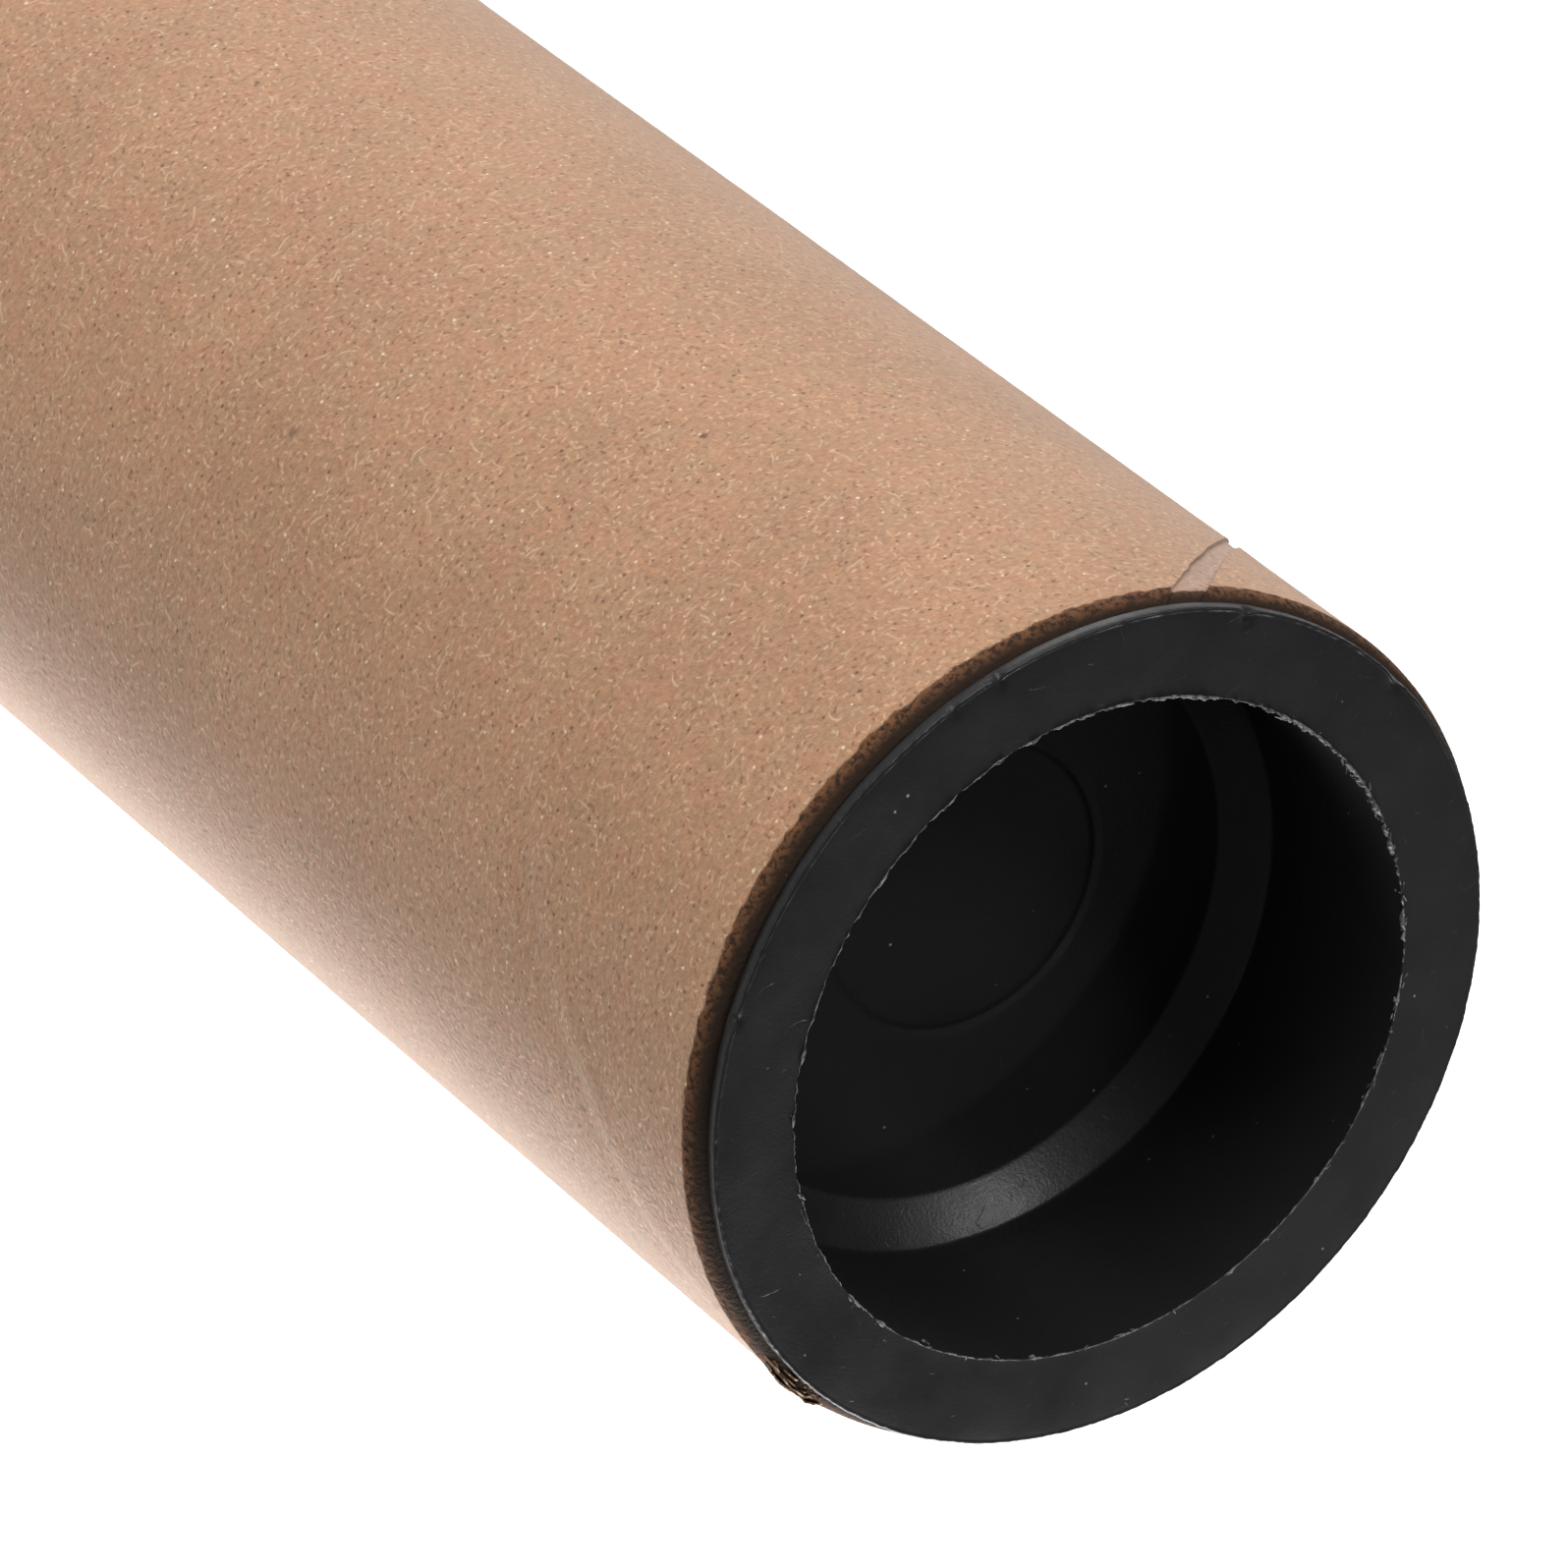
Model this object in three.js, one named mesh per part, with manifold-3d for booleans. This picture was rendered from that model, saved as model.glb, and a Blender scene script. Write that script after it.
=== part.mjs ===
// Kraft poster tube: a spiral-wound board tube with a push-in plastic plug in each end.
// Millimetres, +Z up. The tube stands on its lower plug, with the origin under its centre.

import * as THREE from 'three';
import { mergeVertices } from 'three/addons/utils/BufferGeometryUtils.js';
import Module from 'manifold-3d';

const wasm = await Module();
wasm.setup();

// Board tube
const tubeLength = 460;            // cut length
const boreDiameter = 50;           // inside diameter
const tubeWall = 4.5;              // all the plies together
const outerPly = 0.2;              // thickness of the outermost ply
const plyGap = 1.4;                // open gap between the edges of the outermost ply, square to them
const windingAngle = 43.8;         // degrees between the ply's edge and the tube's cut end
const seamStartAngle = -145;       // degrees round from +X where the gap meets the upper cut end
const endRound = 1.0;              // outer corner of the cut ends, pressed round
const boreEdgeBreak = 0.4;         // chamfer at the bore's mouths

// Push-in plug
const flangeSetback = 0.9;         // the flange's edge stays this far inside the tube's, on the radius
const flangeThickness = 1.0;
const flangeEdgeRound = 0.3;
const crownWidth = 2.0;            // the flange's face falls away a little towards its edge
const crownDrop = 0.15;
const skirtWall = 2.05;            // plastic round the cup
const cupDepth = 17.3;             // from the flange's face to the cup's floor
const cupCornerWidth = 2.75;       // chamfer between the cup's wall and its floor, measured across
const cupCornerHeight = 2.2;       // the same, measured along the axis
const floorThickness = 1.6;
const plugClearance = 0.15;        // between the plug's skirt and the bore, on the radius
const leadIn = 2.6;                // chamfer round the plug's nose, both ways
const witnessRadius = 10.2;        // round witness line that the mould leaves on the cup's floor
const witnessWidth = 0.4;
const witnessDepth = 0.25;
const witnessOffset = new THREE.Vector2(-1.7, -1.3);   // its centre, off the plug's axis

// How finely the round shapes are divided
const sidesRound = 72;
const cornerSteps = 4;

// Sizes that follow
const boreRadius = boreDiameter / 2;
const tubeRadius = boreRadius + tubeWall;
const flangeRadius = tubeRadius - flangeSetback;
const skirtRadius = boreRadius - plugClearance;
const mouthRadius = skirtRadius - skirtWall;
const noseDepth = cupDepth + floorThickness - flangeThickness;   // below the tube's cut end
const windingSlope = Math.tan(THREE.MathUtils.degToRad(windingAngle));

const kraftBoard = new THREE.MeshStandardMaterial({ color: '#b08a6c', roughness: 0.85, metalness: 0 });
const blackPlastic = new THREE.MeshStandardMaterial({ color: '#2c2c2f', roughness: 0.5, metalness: 0 });

// A quarter circle in the (radius, height) plane, as points from one angle to another
function corner(centreRadius, centreHeight, radius, fromDegrees, toDegrees) {
  const points = [];
  for (let step = 0; step <= cornerSteps; step += 1) {
    const angle = THREE.MathUtils.degToRad(fromDegrees + (toDegrees - fromDegrees) * step / cornerSteps);
    points.push(new THREE.Vector2(
      centreRadius + radius * Math.cos(angle),
      centreHeight + radius * Math.sin(angle),
    ));
  }
  return points;
}

// A profile of (radius, height) points turned about +Z
function turned(profile) {
  return new THREE.LatheGeometry(profile, sidesRound).rotateX(Math.PI / 2);
}

// A three.js geometry as a solid for cutting: shared corners merged, empty triangles at the axis left out
function toSolid(geometry) {
  const bare = new THREE.BufferGeometry();
  bare.setAttribute('position', geometry.getAttribute('position'));
  bare.setIndex(geometry.getIndex());
  const merged = mergeVertices(bare, 1e-4);
  const index = merged.getIndex().array;
  const triangles = [];
  for (let first = 0; first < index.length; first += 3) {
    const [a, b, c] = index.slice(first, first + 3);
    if (a !== b && b !== c && c !== a) triangles.push(a, b, c);
  }
  return new wasm.Manifold(new wasm.Mesh({
    numProp: 3,
    vertProperties: new Float32Array(merged.getAttribute('position').array),
    triVerts: new Uint32Array(triangles),
  }));
}

// The solid back as a three.js geometry
function toGeometry(solid) {
  const { vertProperties, triVerts } = solid.getMesh();
  const geometry = new THREE.BufferGeometry();
  geometry.setAttribute('position', new THREE.BufferAttribute(vertProperties, 3));
  geometry.setIndex(new THREE.BufferAttribute(triVerts, 1));
  geometry.computeVertexNormals();
  return geometry;
}

// The helical strip of air between the edges of the outermost ply.
// It climbs counter-clockwise, and runs past both cut ends of the tube.
function plyGapCutter() {
  const risePerRadian = tubeRadius * windingSlope;
  const gapAlongAxis = plyGap / Math.cos(THREE.MathUtils.degToRad(windingAngle));
  const stepAngle = 2 * Math.PI / sidesRound;
  const overrun = 2 * gapAlongAxis + risePerRadian * stepAngle;
  const startAngle = THREE.MathUtils.degToRad(seamStartAngle);
  const innerRadius = tubeRadius - outerPly;
  const outerRadius = tubeRadius + outerPly;
  const firstStep = Math.round((startAngle - (tubeLength + overrun) / risePerRadian) / stepAngle);
  const lastStep = Math.round((startAngle + overrun / risePerRadian) / stepAngle);

  const positions = [];
  for (let step = firstStep; step <= lastStep; step += 1) {
    const angle = step * stepAngle;
    const middle = tubeLength + (angle - startAngle) * risePerRadian;
    for (const [radius, height] of [
      [innerRadius, middle - gapAlongAxis / 2],
      [outerRadius, middle - gapAlongAxis / 2],
      [outerRadius, middle + gapAlongAxis / 2],
      [innerRadius, middle + gapAlongAxis / 2],
    ]) {
      positions.push(radius * Math.cos(angle), radius * Math.sin(angle), height);
    }
  }
  const sections = lastStep - firstStep + 1;
  const index = [0, 1, 2, 0, 2, 3];
  for (let section = 0; section < sections - 1; section += 1) {
    for (let side = 0; side < 4; side += 1) {
      const near = section * 4 + side;
      const nearNext = section * 4 + (side + 1) % 4;
      const far = near + 4;
      const farNext = nearNext + 4;
      index.push(near, far, farNext, near, farNext, nearNext);
    }
  }
  const end = (sections - 1) * 4;
  index.push(end, end + 2, end + 1, end, end + 3, end + 2);

  const geometry = new THREE.BufferGeometry();
  geometry.setAttribute('position', new THREE.Float32BufferAttribute(positions, 3));
  geometry.setIndex(index);
  return geometry;
}

// The board tube, standing on z = 0
function tubeGeometry() {
  const wall = turned([
    new THREE.Vector2(boreRadius + boreEdgeBreak, 0),
    ...corner(tubeRadius - endRound, endRound, endRound, -90, 0),
    ...corner(tubeRadius - endRound, tubeLength - endRound, endRound, 0, 90),
    new THREE.Vector2(boreRadius + boreEdgeBreak, tubeLength),
    new THREE.Vector2(boreRadius, tubeLength - boreEdgeBreak),
    new THREE.Vector2(boreRadius, boreEdgeBreak),
    new THREE.Vector2(boreRadius + boreEdgeBreak, 0),
  ]);
  return toGeometry(toSolid(wall).subtract(toSolid(plyGapCutter())));
}

// The plug, with the underside of its flange on z = 0 and its cup open upwards
function plugGeometry() {
  const floorHeight = flangeThickness - cupDepth;
  const edgeRadius = flangeRadius - flangeEdgeRound;
  const body = turned([
    new THREE.Vector2(0, -noseDepth),
    new THREE.Vector2(skirtRadius - leadIn, -noseDepth),
    new THREE.Vector2(skirtRadius, leadIn - noseDepth),
    new THREE.Vector2(skirtRadius, 0),
    new THREE.Vector2(flangeRadius, 0),
    ...corner(edgeRadius, flangeThickness - crownDrop - flangeEdgeRound, flangeEdgeRound, 0, 90),
    new THREE.Vector2(edgeRadius - crownWidth, flangeThickness),
    new THREE.Vector2(mouthRadius, flangeThickness),
    new THREE.Vector2(mouthRadius, floorHeight + cupCornerHeight),
    new THREE.Vector2(mouthRadius - cupCornerWidth, floorHeight),
    new THREE.Vector2(0, floorHeight),
  ]);
  const witnessLine = turned([
    new THREE.Vector2(witnessRadius - witnessWidth / 2, floorHeight - witnessDepth),
    new THREE.Vector2(witnessRadius + witnessWidth / 2, floorHeight - witnessDepth),
    new THREE.Vector2(witnessRadius + witnessWidth / 2, floorHeight + witnessDepth),
    new THREE.Vector2(witnessRadius - witnessWidth / 2, floorHeight + witnessDepth),
    new THREE.Vector2(witnessRadius - witnessWidth / 2, floorHeight - witnessDepth),
  ]).translate(witnessOffset.x, witnessOffset.y, 0);
  return toGeometry(toSolid(body).subtract(toSolid(witnessLine)));
}

const tube = new THREE.Mesh(tubeGeometry(), kraftBoard);
tube.name = 'tube';
tube.position.z = flangeThickness;

const topPlug = new THREE.Mesh(plugGeometry(), blackPlastic);
topPlug.name = 'top_plug';
topPlug.position.z = flangeThickness + tubeLength;

const bottomPlug = new THREE.Mesh(plugGeometry(), blackPlastic);
bottomPlug.name = 'bottom_plug';
bottomPlug.position.z = flangeThickness;
bottomPlug.rotation.x = Math.PI;

const posterTube = new THREE.Group();
posterTube.add(tube, topPlug, bottomPlug);

export default posterTube;
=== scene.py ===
import math
import random

import bmesh
import bpy
import numpy as np
from mathutils import Matrix, Vector, noise


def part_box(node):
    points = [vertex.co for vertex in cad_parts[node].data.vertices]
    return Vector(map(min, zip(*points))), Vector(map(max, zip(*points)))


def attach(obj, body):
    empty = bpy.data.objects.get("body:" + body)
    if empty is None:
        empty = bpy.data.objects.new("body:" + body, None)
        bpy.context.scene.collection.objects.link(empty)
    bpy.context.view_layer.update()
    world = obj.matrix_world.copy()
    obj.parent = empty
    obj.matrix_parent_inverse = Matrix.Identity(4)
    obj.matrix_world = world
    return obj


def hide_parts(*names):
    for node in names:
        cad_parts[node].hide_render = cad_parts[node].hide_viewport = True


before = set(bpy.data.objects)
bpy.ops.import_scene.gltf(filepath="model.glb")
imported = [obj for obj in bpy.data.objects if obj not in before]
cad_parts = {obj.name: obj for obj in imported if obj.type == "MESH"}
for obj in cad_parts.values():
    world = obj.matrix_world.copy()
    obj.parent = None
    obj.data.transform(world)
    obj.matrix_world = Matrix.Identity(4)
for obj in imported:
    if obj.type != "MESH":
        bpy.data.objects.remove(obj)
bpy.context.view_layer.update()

mm = 0.001
tubeLow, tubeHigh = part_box("tube")
plugLow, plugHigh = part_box("top_plug")
tubeRadius = tubeHigh.x / mm
flangeRadius = plugHigh.x / mm
tubeBottom, tubeTop = tubeLow.z / mm, tubeHigh.z / mm
tubeMiddle = (tubeTop + tubeBottom) / 2
flangeTop = plugHigh.z / mm
plugNose = plugLow.z / mm
print("frame loaded: tube radius %.1f mm, top at %.1f mm" % (tubeRadius, flangeTop))


# Small helpers

def linear(hexColour):  # sRGB hex to the linear colour that the shaders want
    parts = [int(hexColour[i:i + 2], 16) / 255 for i in (1, 3, 5)]
    return [c / 12.92 if c <= 0.04045 else ((c + 0.055) / 1.055) ** 2.4 for c in parts] + [1.0]


def fillInputs(tree, node, inputs):  # each input gets a value, or a link from a socket or another node
    for name, value in inputs.items():
        if isinstance(value, bpy.types.Node):
            value = value.outputs[0]
        if isinstance(value, bpy.types.NodeSocket):
            tree.links.new(value, node.inputs[name])
        else:
            node.inputs[name].default_value = value


def addNode(tree, kind, settings=None, inputs=None):  # a shader node with its settings, values and links
    node = tree.nodes.new("ShaderNode" + kind)
    for name, value in (settings or {}).items():
        setattr(node, name, value)
    fillInputs(tree, node, inputs or {})
    return node


def limits(which, pair):  # the two ends of a range, as a Map Range node's inputs name them
    return {which + " Min": pair[0], which + " Max": pair[1]}


def perMm(size):  # texture scale for a pattern of that size in mm, on coordinates in metres
    return 1000 / size


def smooth(low, high, value):  # 0 below low, 1 above high, eased between
    t = np.clip((value - low) / (high - low), 0, 1)
    return t * t * (3 - 2 * t)


def hump(offset, width):  # 1 in the middle, all but gone at twice the width on either side
    return np.exp(-(offset / width) ** 2)


def turnFrom(at, degrees):  # how far round one bearing lies from another, -180 to 180
    return (degrees - at + 180) % 360 - 180


def wobble(x, y, z, size, seed=0):  # smooth noise about -1 to 1 on points in mm
    shape = np.broadcast(x, y, z).shape
    points = zip(*(np.broadcast_to(v, shape).ravel() / size for v in (x, y, z)))
    shift = seed * 17.3  # gives each seed a part of the noise of its own
    values = [noise.noise((a + shift, b - shift, c + shift)) for a, b, c in points]
    return np.array(values).reshape(shape)


def ringWobble(theta, waves, seed, level=0):  # the same noise round a ring, finer with more waves
    return wobble(np.cos(theta) * waves, np.sin(theta) * waves, level, 1.0, seed)


def turnOver(points):  # to the lower end: half a turn about the X axis through the tube's middle
    points = points.copy()
    points[..., 2] = np.minimum(points[..., 2], flangeTop)  # nothing passes the face that the tube stands on
    return points * np.array([1, -1, -1]) + np.array([0, 0, tubeTop + tubeBottom])


def makePiece(name, points, faces, materials, faceSlots=None, layout=None, smoothShade=True):
    mesh = bpy.data.meshes.new(name)
    mesh.from_pydata((np.asarray(points) * mm).tolist(), [], [list(map(int, f)) for f in faces])
    mesh.polygons.foreach_set("use_smooth", [smoothShade] * len(mesh.polygons))
    for material in materials:
        mesh.materials.append(material)
    if faceSlots is not None:
        mesh.polygons.foreach_set("material_index", [int(s) for s in faceSlots])
    if layout is not None:  # flat coordinates of the wound paper, one pair a face corner
        uv = mesh.uv_layers.new(name="plyLayout")
        uv.data.foreach_set("uv", np.asarray(layout, float).ravel())
    mesh.validate()
    piece = bpy.data.objects.new(name, mesh)
    bpy.context.scene.collection.objects.link(piece)
    return piece


# Camera

cameraView = {
    "elevation": 47.91,  # degrees down onto the upper plug
    "roll": 128.3,  # degrees; the tube recedes to the upper left of the picture
    "distance": 715.5,  # mm to the flange's face, along the view
    "aimRight": 20.0,  # mm from the picture's centre to the flange's centre
    "aimDown": 15.55,
    "lens": 263.5,  # mm, on a sensor of the next width
    "sensor": 36,
    "clip": (0.05, 50),  # metres
}


def makeCamera():
    view = cameraView
    tilt, roll = math.radians(view["elevation"]), math.radians(view["roll"])
    level = Vector((1, 0, 0))
    steep = Vector((0, math.sin(tilt), math.cos(tilt)))
    back = Vector((0, -math.cos(tilt), math.sin(tilt)))
    right = level * math.cos(roll) + steep * math.sin(roll)
    up = steep * math.cos(roll) - level * math.sin(roll)
    place = (Vector((0, 0, flangeTop)) - right * view["aimRight"] + up * view["aimDown"]
             + back * view["distance"])
    data = bpy.data.cameras.new("camera")
    data.lens = view["lens"]
    data.sensor_width = view["sensor"]
    data.clip_start, data.clip_end = view["clip"]
    camera = bpy.data.objects.new("camera", data)
    camera.matrix_world = Matrix.Translation(place * mm) @ Matrix((right, up, back)).transposed().to_4x4()
    bpy.context.scene.collection.objects.link(camera)
    bpy.context.scene.camera = camera
    return right, up, back


pictureRight, pictureUp, pictureBack = makeCamera()
print("camera placed")


# Settings that many nodes share

times = {"operation": "MULTIPLY"}
plus = {"operation": "ADD"}
timesPlus = {"operation": "MULTIPLY_ADD"}      # input 0 times input 1, plus input 2
absolute = {"operation": "ABSOLUTE"}
lessThan = {"operation": "LESS_THAN"}
eased = {"interpolation_type": "SMOOTHSTEP"}
mixColours = {"data_type": "RGBA"}             # input 0 is the share, 6 and 7 the colours, output 2 the mix


# Wound kraft paper: unbleached softwood fibres, machine glazed on one side and glued round in plies.
# It scatters light like any rough paper. Fibres a millimetre or two long lie in and just above the sheet,
# so it reads as fine grain with short light and dark marks, and it greys with a dry sheen at grazing angles.

kraftLook = {
    "warm": "#af805f",  # patches with more lignin
    "cool": "#aa8361",
    "lightFibre": "#dfc09e",
    "darkFibre": "#6b3d24",
    "speck": "#5e3a26",
    "pale": "#ead6bd",  # bright flecks of bleached pulp
    "patch": 1.9,  # mm
    "patchSpan": (0.34, 0.66),  # the part of the noise over which one colour turns into the other
    "cloud": 15.0,  # mm
    "cloudSpan": (0.35, 0.65),
    "cloudContrast": (0.95, 1.05),
    "grain": 0.40,  # mm, between fibres
    "grainSpan": (0.32, 0.68),
    "grainContrast": (0.84, 1.14),
    "roughness": 0.85,
    "ior": 1.5,
    "relief": 0.12,  # mm
    # fresh paper, and where it is rubbed and grease has laid the loose fibres flat
    "specular": (0.45, 0.15),
    "sheen": (0.38, 0.04),
    "sheenRoughness": 0.45,
    # strokes as (cell, length, width in mm, share of cells, seed); widths are drawn a little coarse
    "lightStrokes": [(0.62, 0.55, 0.145, 0.55, 1), (2.10, 1.60, 0.135, 0.42, 3)],
    "darkStrokes": [(0.74, 0.46, 0.180, 0.46, 11), (1.70, 0.85, 0.165, 0.34, 13)],
    "lightStrength": 0.56,
    "darkStrength": 0.66,
    # dots as (cell, smallest and largest radius in mm, share of cells, seed)
    "darkDots": (1.70, 0.09, 0.24, 0.36, 31),
    "paleDots": (2.30, 0.08, 0.22, 0.36, 32),
    # single spots in the pulp as (mm below the plug's face, degrees round from +X, radius in mm, strength)
    "spots": [
        (35.3, -118.2, 0.42, 0.9), (63.5, -86.0, 0.60, 0.5), (39.2, -113.6, 0.24, 0.8),
        (94.3, -120.1, 0.30, 0.7), (35.3, -132.8, 0.24, 0.8),
    ],
    "spotCore": 0.3,  # share of a spot's radius at full strength
    "stainAndShade": ("#7b5337", "#38261b"),  # rolled and rubbed edge of the cut end, worn and dirty, and painted darker with the shade that falls on it
    "stainAndShadeFrom": 1.35,  # mm before the cut end
    "stainAndShadeEdge": (0.12, 0.16),  # mm before and after its line over which it sets in
    "streakSpan": (0.40, 0.60),
    "plugShadeColour": "#30241c",  # painted shade close to the plug, where the rolled corner draws in under the flange
    "plugShadeFrom": (0.85, 0.15),  # mm inside the tube's radius, where it is full and where it starts
    "rag": 0.8,  # mm across the tatters of the edges of the stain and of the painted shade
    "ragLength": 1.1,  # mm that they reach along the tube
    "ragDepth": 0.5,  # mm that they reach inward
}

strokeForm = {
    "turn": 1.5,  # radians either way that a stroke lies off the web
    "bow": 0.5,  # per mm, curve of the most bent ones
    "core": 0.5,  # share of the half length before the end fades
    "faintest": 0.25,
    "seedStep": (7.31, 3.77, 0),  # mm between the parts of the pattern that two seeds look at
}


def fibreGroup():  # short bent strokes, one in each cell of a 2D Voronoi pattern, coordinates in mm
    form = strokeForm
    tree = bpy.data.node_groups.new("fibreStrokes", "ShaderNodeTree")
    tree.interface.new_socket("Vector", in_out="INPUT", socket_type="NodeSocketVector")
    for name in ("Cell", "Length", "Width", "Share", "Seed"):
        tree.interface.new_socket(name, in_out="INPUT", socket_type="NodeSocketFloat")
    tree.interface.new_socket("Mask", in_out="OUTPUT", socket_type="NodeSocketFloat")
    given = tree.nodes.new("NodeGroupInput").outputs
    shift = addNode(tree, "VectorMath", {"operation": "SCALE"},
                    {0: form["seedStep"], "Scale": given["Seed"]})
    spot = addNode(tree, "VectorMath", plus, {0: given["Vector"], 1: shift})
    density = addNode(tree, "Math", {"operation": "DIVIDE"}, {0: 1.0, 1: given["Cell"]})
    cells = addNode(tree, "TexVoronoi", {"voronoi_dimensions": "2D"},
                    {"Vector": spot, "Scale": density})
    offset = addNode(tree, "VectorMath", {"operation": "SUBTRACT"},
                     {0: spot, 1: cells.outputs["Position"]})
    chance = addNode(tree, "SeparateColor", {}, {0: cells.outputs["Color"]}).outputs

    # turned by chance and bent into a shallow bow
    turn = addNode(tree, "MapRange", {},
                   {"Value": chance[0], **limits("To", (-form["turn"], form["turn"]))})
    turned = addNode(tree, "VectorRotate", {"rotation_type": "Z_AXIS"},
                     {"Vector": offset, "Angle": turn})
    flat = addNode(tree, "SeparateXYZ", {}, {0: turned}).outputs
    along, across = flat[0], flat[1]
    bend = addNode(tree, "MapRange", {},
                   {"Value": chance[1], **limits("To", (-form["bow"], form["bow"]))})
    squared = addNode(tree, "Math", times, {0: along, 1: along})
    bowed = addNode(tree, "Math", timesPlus, {0: squared, 1: bend, 2: across})

    # soft sides and tapering ends
    side = addNode(tree, "Math", absolute, {0: bowed})
    reach = addNode(tree, "Math", absolute, {0: along})
    half = addNode(tree, "Math", times, {0: given["Length"], 1: 0.5})
    core = addNode(tree, "Math", times, {0: half, 1: form["core"]})
    line = addNode(tree, "MapRange", eased,
                   {"Value": side, **limits("From", (0.0, given["Width"])), **limits("To", (1.0, 0.0))})
    ends = addNode(tree, "MapRange", eased,
                   {"Value": reach, **limits("From", (core, half)), **limits("To", (1.0, 0.0))})
    stroke = addNode(tree, "Math", times, {0: line, 1: ends})

    # only a share of the cells holds a stroke, some faint and some strong
    force = addNode(tree, "MapRange", {}, {
        "Value": chance[2], **limits("From", (0.0, given["Share"])),
        **limits("To", (1.0, form["faintest"]))})
    there = addNode(tree, "Math", lessThan, {0: chance[2], 1: given["Share"]})
    shown = addNode(tree, "Math", times, {0: force, 1: there})
    mask = addNode(tree, "Math", times, {0: stroke, 1: shown})
    fillInputs(tree, tree.nodes.new("NodeGroupOutput"), {"Mask": mask})
    return tree


fibreStrokes = fibreGroup()


def strokeSum(tree, layers, coords):  # the strongest of several layers of strokes
    total = None
    for cell, length, width, share, seed in layers:
        layer = addNode(tree, "Group", {"node_tree": fibreStrokes}, {
            "Vector": coords, "Cell": cell, "Length": length, "Width": width, "Share": share, "Seed": seed})
        total = layer if total is None else addNode(
            tree, "Math", {"operation": "MAXIMUM"}, {0: total, 1: layer})
    return total


def dotMask(tree, dots, coords, flat=True):  # soft round dots in a share of the cells, coordinates in mm
    cell, smallest, largest, share, seed = dots
    spot = addNode(tree, "VectorMath", plus, {0: coords, 1: (seed * 1.7, seed * 2.3, 0)})
    cells = addNode(tree, "TexVoronoi", {"voronoi_dimensions": "2D" if flat else "3D"},
                    {"Vector": spot, "Scale": 1 / cell})
    chance = addNode(tree, "SeparateColor", {}, {0: cells.outputs["Color"]}).outputs
    size = addNode(tree, "MapRange", {},
                   {"Value": chance[0], **limits("To", (smallest / cell, largest / cell))})
    dot = addNode(tree, "MapRange", eased, {
        "Value": cells.outputs["Distance"], **limits("From", (0.0, size)), **limits("To", (1.0, 0.0))})
    there = addNode(tree, "Math", lessThan, {0: chance[1], 1: share})
    return addNode(tree, "Math", times, {0: dot, 1: there})


def newMaterial(name):
    material = bpy.data.materials.new(name)
    material.use_nodes = True
    tree = material.node_tree
    tree.nodes.clear()
    shader = addNode(tree, "BsdfPrincipled")
    addNode(tree, "OutputMaterial", {}, {"Surface": shader})
    return material, tree, shader


def kraftPulp(tree, look, place, grain):  # the sheet's own colour: patches, wide clouds and grain
    patches = addNode(tree, "TexNoise", {}, {
        "Vector": place, "Scale": perMm(look["patch"]), "Detail": 2.0, "Roughness": 0.6})
    patchMix = addNode(tree, "MapRange", {}, {"Value": patches, **limits("From", look["patchSpan"])})
    tone = addNode(tree, "Mix", mixColours, {
        0: patchMix, 6: linear(look["warm"]), 7: linear(look["cool"])}).outputs[2]
    clouds = addNode(tree, "TexNoise", {}, {
        "Vector": place, "Scale": perMm(look["cloud"]), "Detail": 1.0})
    cloudMix = addNode(tree, "MapRange", {}, {
        "Value": clouds, **limits("From", look["cloudSpan"]), **limits("To", look["cloudContrast"])})
    grainMix = addNode(tree, "MapRange", {}, {
        "Value": grain, **limits("From", look["grainSpan"]), **limits("To", look["grainContrast"])})
    shade = addNode(tree, "Math", times, {0: cloudMix, 1: grainMix})
    return addNode(tree, "Mix", dict(mixColours, blend_type="MULTIPLY"),
                   {0: 1.0, 6: tone, 7: shade}).outputs[2]


def kraftMarks(tree, look, place, layout, paper):  # fibres, dots and single spots, over the pulp
    light = strokeSum(tree, look["lightStrokes"], layout)
    dark = strokeSum(tree, look["darkStrokes"], layout)
    marks = [
        ("darkFibre", addNode(tree, "Math", times, {0: dark, 1: look["darkStrength"]})),
        ("lightFibre", addNode(tree, "Math", times, {0: light, 1: look["lightStrength"]})),
        ("speck", dotMask(tree, look["darkDots"], layout)),
        ("pale", dotMask(tree, look["paleDots"], layout)),
    ]
    for below, turn, size, strength in look["spots"]:
        angle = math.radians(turn)
        x, y = tubeRadius * math.cos(angle) * mm, tubeRadius * math.sin(angle) * mm
        z = (flangeTop - below) * mm
        away = addNode(tree, "VectorMath", {"operation": "DISTANCE"}, {0: place, 1: (x, y, z)})
        near = addNode(tree, "MapRange", eased, {
            "Value": away.outputs["Value"], **limits("From", (size * look["spotCore"] * mm, size * mm)),
            **limits("To", (strength, 0.0))})
        marks.append(("speck", near))
    for colour, amount in marks:
        paper = addNode(tree, "Mix", mixColours,
                        {0: amount, 6: paper, 7: linear(look[colour])}).outputs[2]
    return paper


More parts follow.
